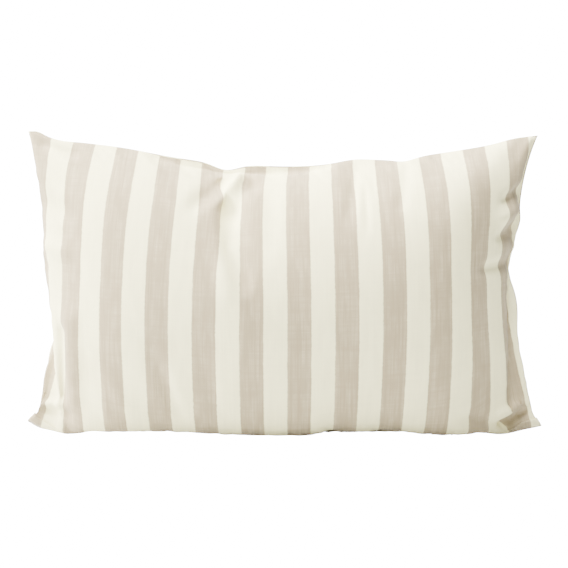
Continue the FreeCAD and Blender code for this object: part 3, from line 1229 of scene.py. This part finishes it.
@dataclass
class Cover:
    """The striped linen cover: two panels sewn round their edges."""

    cloth: SewnCloth = field(default_factory=SewnCloth)
    layer: float = 0.0006
    fill: float = 0.85
    quick_steps: tuple[int, int] = (60, 10)
    first_seed: int = 3
    back_shift: float = 0.017
    front_lean: float = 0.0050
    right_gather: float = 0.0052
    gather_across: tuple[float, float] = (0.84, 0.20)
    gather_upward: tuple[float, float] = (0.05, 0.55)
    least_gap: float = 0.0034
    gap_steps: int = 3
    seam_inset: float = 0.0010
    allowance_rows: int = 4
    allowance_lift: float = 0.0014
    front_folds: tuple[Fold, ...] = (
        Fold((-0.0420, 0.243), (-0.0590, 0.222), 0.0045, 0.0036),
        Fold((-0.0590, 0.241), (-0.0760, 0.224), 0.0080, -0.0042),
        Fold((-0.0350, 0.236), (-0.0480, 0.211), 0.0075, -0.0034),
        Fold((-0.0580, 0.215), (-0.0530, 0.140), 0.0100, 0.0014),
        Fold((-0.0400, 0.205), (-0.0380, 0.150), 0.0090, -0.0012),
        Fold((-0.0100, 0.245), (-0.0140, 0.190), 0.0090, -0.0012),
        Fold((0.0670, 0.250), (0.0600, 0.215), 0.0070, -0.0014),
        Fold((0.1130, 0.249), (0.1080, 0.222), 0.0060, -0.0016),
        Fold((-0.2200, 0.276), (-0.1980, 0.266), 0.0055, -0.0035),
        Fold((-0.2080, 0.098), (-0.2080, 0.040), 0.0050, -0.0060),
        Fold((-0.1980, 0.110), (-0.1960, 0.040), 0.0090, 0.0045),
        Fold((-0.2200, 0.024), (-0.2060, 0.022), 0.0045, -0.0036),
        Fold((-0.2240, 0.031), (-0.2160, 0.031), 0.0040, 0.0050),
        Fold((0.2060, 0.0130), (0.2240, 0.0235), 0.0030, -0.0090),
        Fold((0.2020, 0.0215), (0.2230, 0.0310), 0.0045, 0.0070),
        Fold((0.1730, 0.0200), (0.2020, 0.0150), 0.0070, -0.0030),
        Fold((0.2180, 0.2310), (0.2080, 0.2240), 0.0050, -0.0046),
        Fold((0.2160, 0.1970), (0.2040, 0.1900), 0.0055, -0.0044),
        Fold((0.2110, 0.1640), (0.1900, 0.1600), 0.0070, -0.0040),
        Fold((0.2170, 0.2140), (0.2060, 0.2080), 0.0060, 0.0040),
        Fold((-0.2190, 0.2200), (-0.2080, 0.2140), 0.0080, -0.0030),
        Fold((-0.2190, 0.1800), (-0.2060, 0.1760), 0.0080, 0.0024),
    )
    smooth: np.ndarray = field(init=False)
    points: np.ndarray = field(init=False)

    def build(self, effects: Effects) -> None:
        """Settle the cloth and make its two panels.

        Args:
            effects: The shared node groups.
        """
        self.smooth = self.cloth.settle()
        points = finer(finer(self.smooth, 1), 2)
        for index, side in enumerate(Side):
            points[index] = puckered(points[index], side, index + self.first_seed)
        points = self.gathered(points)
        points[0] = folded(points[0], self.front_folds, Side.FRONT)
        points = kept_apart(points, self.least_gap, self.gap_steps)
        self.points = points[:, ::2, ::2]
        size = (self.cloth.width, self.cloth.height)
        linen = LINEN.make(effects, "striped_linen")
        for index, side in enumerate(Side):
            name = side.name.lower()
            shift, lean = (self.back_shift, 0.0) if side is Side.BACK else (0.0, self.front_lean)
            panel = grid_panel(f"linen_{name}", self.with_allowance(points[index]), size, side, shift, lean)
            finish_with(panel, "SOLIDIFY", thickness=self.layer, offset=-1.0)
            panel.data.materials.append(linen)
            keep(panel, f"cover_{name}_panel")

    def sew(self, effects: Effects) -> None:
        """Sew the cover's seam, leaving the zip's opening free."""
        line = seam_line(self.points, self.seam_inset, self.cloth.zip_half)
        Stitches("sewn_cover_seam", "cover_seam_thread").build(line, THREAD.make(effects, "cover_thread"))

    def gathered(self, points: np.ndarray) -> np.ndarray:
        """Both panels' points with the cloth beside the right seam pushed a little to the left.

        Args:
            points: The front and back grids.

        Returns:
            The pushed grids.
        """
        v, u = (np.linspace(-1.0, 1.0, count) for count in points.shape[1:3])
        push = self.right_gather * bell(u, *self.gather_across) * bell(v, *self.gather_upward)[:, None]
        result = points.copy()
        result[..., 0] -= push * rising(0, FOLD_RIM, from_rim(points[0]))
        return result

    def with_allowance(self, panel: np.ndarray) -> np.ndarray:
        """A panel with the strip along its zip edge that is turned in and lies on the cloth.

        Args:
            panel: The panel's grid.

        Returns:
            The grid with the strip's rows before its own.
        """
        strip = panel[self.allowance_rows : 0 : -1].copy()
        strip[..., 2] += self.allowance_lift
        return np.concatenate([strip, panel])


def spaced(path: np.ndarray, pitch: float) -> list[Matrix]:
    """Places at even steps along a line.

    Args:
        path: The line's points, in order.
        pitch: The step.

    Returns:
        A matrix for each place, whose X runs along the line.
    """
    run = np.concatenate([[0.0], np.cumsum(np.linalg.norm(np.diff(path, axis=0), axis=1))])
    count = int(run[-1] // pitch)
    middles = (np.arange(count) + 0.5) * run[-1] / count
    behind, spots, ahead = (
        np.stack([np.interp(middles + step * pitch, run, path[:, axis]) for axis in range(3)], axis=-1)
        for step in (-0.4, 0.0, 0.4)
    )
    return [
        Matrix.Translation(spot) @ Vector(way).to_track_quat("X", "Z").to_matrix().to_4x4()
        for spot, way in zip(spots, ahead - behind)
    ]


def select_faces_along(thing: bpy.types.Object, axis: int) -> None:
    """Select the faces of a mesh that look along an axis, either way.

    Args:
        thing: The mesh's object.
        axis: 0, 1 or 2 for X, Y or Z.
    """
    faces = thing.data.polygons
    faces.foreach_set("select", [abs(face.normal[axis]) > 0.9 for face in faces])


@dataclass
class Stitches:
    """A row of stitches: one short length of thread with rounded ends, copied along a line."""

    name: str
    replaced: str
    length: float = 0.0028
    pitch: float = 0.0035
    radius: float = 0.00020

    def stitch(self) -> bpy.types.Object:
        """The first stitch, along X at the origin.

        Returns:
            The stitch's object.
        """
        bpy.ops.object.select_all(action="DESELECT")
        bpy.ops.mesh.primitive_cylinder_add(
            vertices=6, radius=self.radius, depth=self.length, rotation=(0.0, math.pi / 2, 0.0)
        )
        stitch = bpy.context.object
        bpy.ops.object.transform_apply(location=True, rotation=True, scale=True)
        bpy.ops.object.mode_set(mode="EDIT")
        bpy.ops.mesh.select_all(action="DESELECT")
        bpy.ops.object.mode_set(mode="OBJECT")
        select_faces_along(stitch, 0)
        bpy.ops.object.mode_set(mode="EDIT")
        bpy.ops.mesh.select_mode(type="FACE")
        bpy.ops.mesh.inset(thickness=self.radius * 0.4, depth=self.radius * 0.5)
        bpy.ops.object.mode_set(mode="OBJECT")
        bpy.ops.object.shade_smooth()
        return stitch

    def build(self, path: np.ndarray, material: bpy.types.Material) -> None:
        """Sew along the path.

        Args:
            path: The seam's points, in order.
            material: The thread's material.
        """
        master = self.stitch()
        row = []
        for place in spaced(path, self.pitch):
            one = master.copy()
            one.data = master.data.copy()
            one.data.transform(place)
            bpy.context.scene.collection.objects.link(one)
            row.append(one)
        bpy.data.objects.remove(master)
        select_only(*row)
        bpy.ops.object.join()
        sewn = row[0]
        sewn.name = self.name
        sewn.data.name = self.name
        sewn.data.materials.clear()
        sewn.data.materials.append(material)
        keep(sewn, self.replaced)


def seam_line(points: np.ndarray, inset: float, opening: float = 0.0, steps: int = 2) -> np.ndarray:
    """The line just inside a cushion's seam.

    Args:
        points: The front and back grids.
        inset: How far inside the edge it runs.
        opening: Half the length of the gap in the middle of the lower edge.
        steps: How many grid steps in the cloth is looked at, to find which way is in.

    Returns:
        The line's points, from the right of the opening round to its left.
    """
    middle = points.mean(axis=0)
    edge = middle.copy()
    edge[:, 0] = middle[:, steps]
    edge[:, -1] = middle[:, -1 - steps]
    edge[-1] = middle[-1 - steps]
    inward = edge - middle
    inward[0] = (0.0, 0.0, 1.0)
    edge = middle + inset * inward / np.maximum(np.linalg.norm(inward, axis=-1, keepdims=True), TINY)
    right = edge[0, edge[0, :, 0] >= opening]
    left = edge[0, edge[0, :, 0] <= -opening]
    return np.concatenate([right, edge[1:-1, -1], edge[-1, ::-1], edge[-2:0:-1, 0], left])


def rounded_copy(node: str, name: str, bevel: float) -> bpy.types.Object:
    """A copy of a metal part with its faces joined up and its edges rounded.

    Args:
        node: The CAD node's name.
        name: The copy's name.
        bevel: How far in the rounding starts.

    Returns:
        The copy's object.
    """
    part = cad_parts[node].copy()
    part.data = part.data.copy()
    part.parent = None
    for key in [key for key in part.keys() if key.startswith("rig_")]:
        del part[key]
    bpy.context.scene.collection.objects.link(part)
    part.name = name
    part.data.name = name
    edit(
        part,
        lambda: bpy.ops.mesh.remove_doubles(threshold=0.00001),
        lambda: bpy.ops.mesh.dissolve_limited(angle_limit=math.radians(1.0)),
    )
    bpy.ops.object.shade_smooth()
    finish_with(
        part,
        "BEVEL",
        width=bevel,
        segments=2,
        limit_method="ANGLE",
        angle_limit=math.radians(40.0),
        harden_normals=True,
    )
    part.data.materials.clear()
    return part


@dataclass
class Zip:
    """The nylon coil zip in the lower edge: two tapes with their coils, stops, slider and pull tab."""

    tape_thickness: float = 0.0004
    wire: float = 0.0003
    turn_pitch: float = 0.0016
    turn_steps: int = 8
    columns: int = 168
    rounding: float = 0.00018
    clearance: float = 0.00005
    trim: float = 0.0001
    bend_radius: float = 0.0009
    bend_start: float = 0.6
    tape_width: float = 0.014
    stitch_lift: float = 0.00016
    metal_parts: dict[str, str] = field(
        default_factory=lambda: {
            "zip_top_stop_front": "cushion",
            "zip_top_stop_back": "cushion",
            "zip_bottom_stop": "cushion",
            "zip_slider": "slider",
            "zip_pull_tab": "pull_tab",
        }
    )

    def build(self, effects: Effects) -> None:
        """Make the tapes, coils and stitching, and give the metal parts their finish.

        Args:
            effects: The shared node groups.
        """
        tape = ZIP_TAPE.make(effects, "zip_tape")
        nylon = NYLON.make(effects, "zip_coil")
        thread = THREAD.make(effects, "zip_thread")
        metal = NICKEL.make(effects, "zip_metal")
        for side in Side:
            self.build_tape(side, tape)
            self.build_coil(side, nylon)
            self.build_stitching(side, thread)
        for node, body in self.metal_parts.items():
            part = rounded_copy(node, f"metal_{node}", self.rounding)
            part.data.materials.append(metal)
            keep(part, node, body)

    def build_tape(self, side: Side, material: bpy.types.Material) -> None:
        """One tape: flat on the turned-in linen, with its inner edge turned up towards the coil.

        Args:
            side: Which half of the zip it belongs to.
            material: Its material.
        """
        node = f"zip_tape_{side.name.lower()}"
        low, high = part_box(node)
        reach = max(abs(low[1]), abs(high[1]))
        near = min(abs(low[1]), abs(high[1])) + self.tape_thickness / 2 + self.clearance
        level = low[2] + self.tape_thickness / 2 + self.clearance
        turn = self.bend_radius
        bend = [
            (near + turn * (1 - math.cos(angle)), level + turn * (1 - math.sin(angle)))
            for angle in np.linspace(math.pi / 2, 0.0, 5)
        ]
        flat = [(reach - self.trim, level), (reach * self.bend_start, level)]
        profile = [*flat, *bend, (near, high[2] - self.trim)]
        x = np.linspace(low[0], high[0], self.columns + 1)
        points = np.zeros((len(profile), len(x), 3))
        points[..., 0] = x
        for row, (out, height) in enumerate(profile):
            points[row, :, 1] = side.value * out
            points[row, :, 2] = height
        strip = grid_panel(f"woven_{node}", points, (high[0] - low[0], self.tape_width), side)
        finish_with(strip, "SOLIDIFY", thickness=self.tape_thickness, offset=0.0)
        strip.data.materials.append(material)
        keep(strip, node)

    def build_coil(self, side: Side, material: bpy.types.Material) -> None:
        """One coil: a round wire section screwed along the zip.

        Args:
            side: Which half of the zip it belongs to.
            material: Its material.
        """
        node = f"zip_coil_{side.name.lower()}"
        low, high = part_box(node)
        radius = (high[2] - low[2]) / 2 - self.wire
        bpy.ops.object.select_all(action="DESELECT")
        bpy.ops.mesh.primitive_circle_add(vertices=6, radius=self.wire, location=(0.0, radius, 0.0))
        coil = bpy.context.object
        bpy.ops.object.transform_apply(location=True, rotation=True, scale=True)
        turns = int((high[0] - low[0] - self.turn_pitch) / self.turn_pitch)
        finish_with(
            coil,
            "SCREW",
            axis="X",
            angle=2 * math.pi,
            screw_offset=self.turn_pitch,
            iterations=turns,
            steps=self.turn_steps,
            render_steps=self.turn_steps,
        )
        edit(coil, lambda: bpy.ops.mesh.fill_holes(sides=0), bpy.ops.mesh.normals_make_consistent)
        start = low[0] + self.wire + (self.turn_pitch / 2 if side is Side.BACK else 0.0)
        coil.location = (start, (low[1] + high[1]) / 2, (low[2] + high[2]) / 2)
        select_only(coil)
        bpy.ops.object.transform_apply(location=True, rotation=True, scale=True)
        bpy.ops.object.shade_smooth()
        coil.name = f"nylon_{node}"
        coil.data.materials.append(material)
        keep(coil, node)

    def build_stitching(self, side: Side, material: bpy.types.Material) -> None:
        """The row of stitches that holds a tape to its panel.

        Args:
            side: Which half of the zip it belongs to.
            material: Its material.
        """
        node = f"zip_stitching_{side.name.lower()}"
        low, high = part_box(node)
        middle = (low[1] + high[1]) / 2
        path = np.array([[end, middle, low[2] + self.stitch_lift] for end in (low[0], high[0])])
        Stitches(f"sewn_{node}", node, length=0.0026, pitch=0.0032, radius=0.00015).build(path, material)


@dataclass
class CareLabel:
    """A short blank ribbon caught in the right seam, inside the cover."""

    columns: tuple[int, int] = (-9, -3)
    flat_width: float = 0.020
    thickness: float = 0.0003

    def build(self, effects: Effects, cover: Cover) -> None:
        """Lay the ribbon midway between the panels.

        Args:
            effects: The shared node groups.
            cover: The cover that it is sewn into.
        """
        low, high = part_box("care_label")
        middle = cover.points.mean(axis=0)
        heights = middle[:, self.columns[1], 2]
        rows = np.flatnonzero((heights > low[2]) & (heights < high[2]))
        points = finer(finer(middle[rows[0] : rows[-1] + 1, self.columns[0] : self.columns[1]], 0), 1)
        ribbon = grid_panel("label_ribbon", points, (self.flat_width, high[2] - low[2]), Side.FRONT)
        finish_with(ribbon, "SOLIDIFY", thickness=self.thickness, offset=0.0)
        ribbon.data.materials.append(LABEL_RIBBON.make(effects, "label_ribbon"))
        keep(ribbon, "care_label")


@dataclass
class Insert:
    """The filled inner pillow: two panels of white ticking round loose fibre."""

    reach: tuple[float, float] = (0.935, 0.915)
    slack: float = 0.0065
    side_room: float = 0.0070
    corner_room: float = 1.6
    lift: float = 0.017
    core_reach: tuple[float, float] = (0.905, 0.875)
    core_slack: float = 0.0090
    edge_power: int = 9
    low_reach: float = 0.06
    thin: float = 0.022
    lump: float = 0.0016
    lump_waves: int = 14
    lump_turns: tuple[float, float] = (30.0, 110.0)
    lump_seed: int = 7
    layer: float = 0.0003
    fill: float = 0.8
    seam_inset: float = 0.0010

    def inside(self, points: np.ndarray, reach: tuple[float, float], slack: float) -> np.ndarray:
        """The cover's shape drawn in, so that it lies within the cover all over.

        Args:
            points: The cover's grids, without their folds.
            reach: How far towards the cover's seams it goes, across and up.
            slack: How far it stands off the cover's cloth.

        Returns:
            The front and back grids.
        """
        rows, columns = points.shape[1] - 1, points.shape[2] - 1
        u = np.linspace(-1, 1, columns + 1)
        v = np.linspace(-1, 1, rows + 1)
        taken = sample(sample(points, 2, (u * reach[0] + 1) / 2 * columns), 1, (v * reach[1] + 1) / 2 * rows)
        across, upward = (1 - np.abs(place) ** self.edge_power for place in (u[None, :], v[:, None]))
        fade = (across * upward) ** 0.5
        corner = 1.0 + self.corner_room * np.abs(v[:, None]) ** 4
        taken[..., 0] -= self.side_room * np.sign(u) * np.abs(u) ** 5 * corner
        middle = taken[..., 1].mean(axis=0)
        depth = np.maximum(half_gap(taken) - slack, 0.0) * fade
        for layer, side in enumerate(Side):
            taken[layer, ..., 1] = middle + side.value * depth
        low = 1.0 - rising(0.0, self.low_reach, taken[..., 2])
        taken[..., 2] += self.lift * np.exp(-((depth / self.thin) ** 2)) * low + 2.0 * slack * low
        return taken

    def build(self, effects: Effects, cover: Cover) -> None:
        """Make the ticking and the fill.

        Args:
            effects: The shared node groups.
            cover: The cover that it fills.
        """
        ticking = TICKING.make(effects, "ticking")
        shape = self.inside(cover.smooth, self.reach, self.slack)
        size = (cover.cloth.width * self.reach[0], cover.cloth.height * self.reach[1])
        for index, side in enumerate(Side):
            name = side.name.lower()
            panel = grid_panel(f"ticking_{name}", shape[index], size, side)
            finish_with(panel, "SOLIDIFY", thickness=self.layer, offset=-1.0)
            panel.data.materials.append(ticking)
            keep(panel, f"insert_{name}_panel")
        seam = THREAD.make(effects, "insert_thread")
        Stitches("sewn_insert_seam", "insert_seam_thread").build(seam_line(shape, self.seam_inset), seam)
        self.build_fill(effects, cover)

    def build_fill(self, effects: Effects, cover: Cover) -> None:
        """Make the fibre as one closed lumpy shape.

        Args:
            effects: The shared node groups.
            cover: The cover that it fills.
        """
        core = self.inside(cover.smooth, self.core_reach, self.core_slack)[:, ::2, ::2]
        generator = np.random.default_rng(self.lump_seed)
        turns = generator.uniform(*self.lump_turns, (self.lump_waves, 2))
        phases = generator.uniform(*PHASES, self.lump_waves)
        lumps = sum(
            np.sin(core[..., 0] * turn[0] + core[..., 2] * turn[1] + phase)
            for turn, phase in zip(turns, phases)
        )
        core[..., 1] *= 1.0 - self.lump / 0.06 * (1.0 + lumps / 6.0)
        size = (cover.cloth.width * self.core_reach[0], cover.cloth.height * self.core_reach[1])
        halves = [
            grid_panel(f"fill_{side.name.lower()}", core[index], size, side)
            for index, side in enumerate(Side)
        ]
        select_only(*halves)
        bpy.ops.object.join()
        fill = halves[0]
        fill.name = "fibre_filling"
        edit(
            fill,
            lambda: bpy.ops.mesh.remove_doubles(threshold=0.0002),
            bpy.ops.mesh.normals_make_consistent,
        )
        fill.data.materials.append(FIBRE.make(effects, "polyester_fibre"))
        keep(fill, "fibre_fill")


# ---------------------------------------------------------------- studio


@dataclass
class Studio:
    """A pale floor, soft light and the camera."""

    aim: tuple[float, float, float] = (0.0, 0.0, 0.1436)
    distance: float = 2.2
    rise: float = 3.0
    view_width: float = 0.5317
    sensor: float = 36.0
    floor_size: float = 14.0
    floor_colour: Colour = (0.56, 0.575, 0.59, 1.0)
    white: Colour = (1.0, 1.0, 1.0, 1.0)
    floor_glow: float = 18.0
    backdrop: float = 20.0
    daylight: float = 0.15

    def build(self) -> None:
        """Make the floor, the lights and the camera."""
        self.make_floor()
        self.make_world()
        self.soft_box("key", (-2.4, -0.47, 1.2), 1.2, 450.0)
        self.soft_box("fill", (-0.9, -2.4, 0.6), 1.8, 4.0)
        self.soft_box("top", (-0.3, -0.25, 2.2), 1.4, 340.0)
        self.make_camera()

    def make_floor(self) -> None:
        """A wide pale floor that fades into the backdrop, and that is clear from below."""
        bpy.ops.object.select_all(action="DESELECT")
        bpy.ops.mesh.primitive_plane_add(size=self.floor_size, location=(0.0, 0.0, 0.0))
        floor = bpy.context.object
        floor.name = "studio_floor"
        material, shader, surface = new_material("studio_floor")
        surface.inputs["Base Color"].default_value = self.floor_colour
        surface.inputs["Roughness"].default_value = 0.9
        surface.inputs["Emission Color"].default_value = self.white
        seen = shader.add("ShaderNodeLightPath").outputs["Is Camera Ray"]
        shader.link(shader.share(seen, self.floor_glow), surface.inputs["Emission Strength"])
        under = shader.add("ShaderNodeNewGeometry").outputs["Backfacing"]
        shader.link(shader.math("SUBTRACT", 1.0, under), surface.inputs["Alpha"])
        floor.data.materials.append(material)

    def make_world(self) -> None:
        """White all round, brighter where it is looked at."""
        world = bpy.data.worlds.new("studio")
        bpy.context.scene.world = world
        world.use_nodes = True
        world.node_tree.nodes.clear()
        shader = Shader(world.node_tree)
        output = shader.add("ShaderNodeOutputWorld")
        light = shader.add("ShaderNodeBackground")
        light.inputs["Color"].default_value = self.white
        seen = shader.add("ShaderNodeLightPath").outputs["Is Camera Ray"]
        shader.link(shader.math("MULTIPLY_ADD", seen, self.backdrop, self.daylight), light.inputs["Strength"])
        shader.link(light.outputs[0], output.inputs[0])

    def soft_box(self, name: str, place: tuple[float, float, float], size: float, power: float) -> None:
        """One square soft box that faces the pillow.

        Args:
            name: The light's name.
            place: Where it stands.
            size: The length of its side.
            power: Its power in watts.
        """
        light = bpy.data.lights.new(name, "AREA")
        light.size = size
        light.energy = power
        lamp = bpy.data.objects.new(name, light)
        lamp.location = place
        lamp.rotation_euler = (Vector(self.aim) - Vector(place)).to_track_quat("-Z", "Y").to_euler()
        bpy.context.scene.collection.objects.link(lamp)

    def make_camera(self) -> None:
        """A long lens straight in front and a little above."""
        camera = bpy.data.cameras.new("camera")
        camera.sensor_width = self.sensor
        camera.lens = self.sensor * self.distance / self.view_width
        rig = bpy.data.objects.new("camera", camera)
        rise = math.radians(self.rise)
        aim = Vector(self.aim)
        rig.location = aim + Vector((0.0, -math.cos(rise), math.sin(rise))) * self.distance
        rig.rotation_euler = (aim - rig.location).to_track_quat("-Z", "Y").to_euler()
        bpy.context.scene.collection.objects.link(rig)
        bpy.context.scene.camera = rig


def main() -> None:
    """Build the pillow and the studio."""
    logging.basicConfig(level=logging.INFO, format="%(message)s")
    effects = Effects()
    Studio().build()
    cover = Cover()
    cover.build(effects)
    cover.sew(effects)
    CareLabel().build(effects, cover)
    Insert().build(effects, cover)
    Zip().build(effects)


if __name__ == "__main__":
    main()
